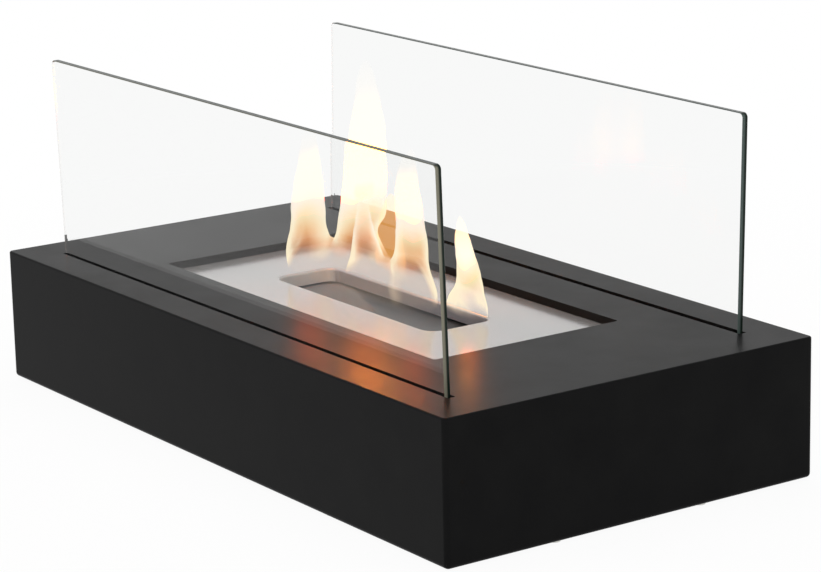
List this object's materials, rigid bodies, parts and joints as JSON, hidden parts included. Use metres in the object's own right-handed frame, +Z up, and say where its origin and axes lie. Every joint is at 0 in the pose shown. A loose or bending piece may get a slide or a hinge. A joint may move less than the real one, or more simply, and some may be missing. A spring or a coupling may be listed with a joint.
{
  "type": "bioethanol fireplace",
  "caption": "Tabletop bioethanol fireplace: low black steel box with a recessed stainless burner plate, a long burner opening and upright glass panes in slots along both long sides.",
  "frame": {"origin": "on the table under the middle of the housing", "axes": "+X along the long side, +Y towards the rear pane, +Z up"},
  "size_m": [0.5, 0.266, 0.2197],
  "materials": {
    "powder_coat": "satin black powder coat",
    "stainless": "satin stainless steel",
    "zinc_steel": "zinc-plated steel",
    "tempered_glass": "clear tempered float glass, ground edges",
    "ceramic_fibre": "matte ceramic fibre board",
    "silicone": "matte silicone strip",
    "foot_rubber": "matte rubber"
  },
  "bodies": {
    "housing": {"housing": "powder_coat", "weld_studs": "zinc_steel", "burner_well": "powder_coat", "well_nuts": "zinc_steel", "burner_ledge_left": "zinc_steel", "burner_ledge_right": "zinc_steel", "ledge_rivets": "zinc_steel", "glass_channel_front": "powder_coat", "glass_channel_rear": "powder_coat", "channel_end_stops": "powder_coat", "channel_nuts": "zinc_steel", "seat_strip_front": "silicone", "seat_strip_rear": "silicone", "base_plate": "powder_coat", "base_screws": "zinc_steel", "base_weld_nuts": "zinc_steel", "foot_pads": "foot_rubber"},
    "burner": {"burner_plate": "stainless", "burner_tank": "stainless", "wick_block": "ceramic_fibre"},
    "front_glass": {"glass_pane_front": "tempered_glass"},
    "rear_glass": {"glass_pane_rear": "tempered_glass"}
  },
  "joints": [
    {"name": "burner_lift", "type": "slide", "parent": "housing", "child": "burner", "axis": [0, 0, 1], "range_m": [0, 0.21]},
    {"name": "front_glass_lift", "type": "slide", "parent": "housing", "child": "front_glass", "axis": [0, -0.0246, 0.9997], "range_m": [0, 0.06]},
    {"name": "rear_glass_lift", "type": "slide", "parent": "housing", "child": "rear_glass", "axis": [0, 0.0246, 0.9997], "range_m": [0, 0.06]}
  ]
}
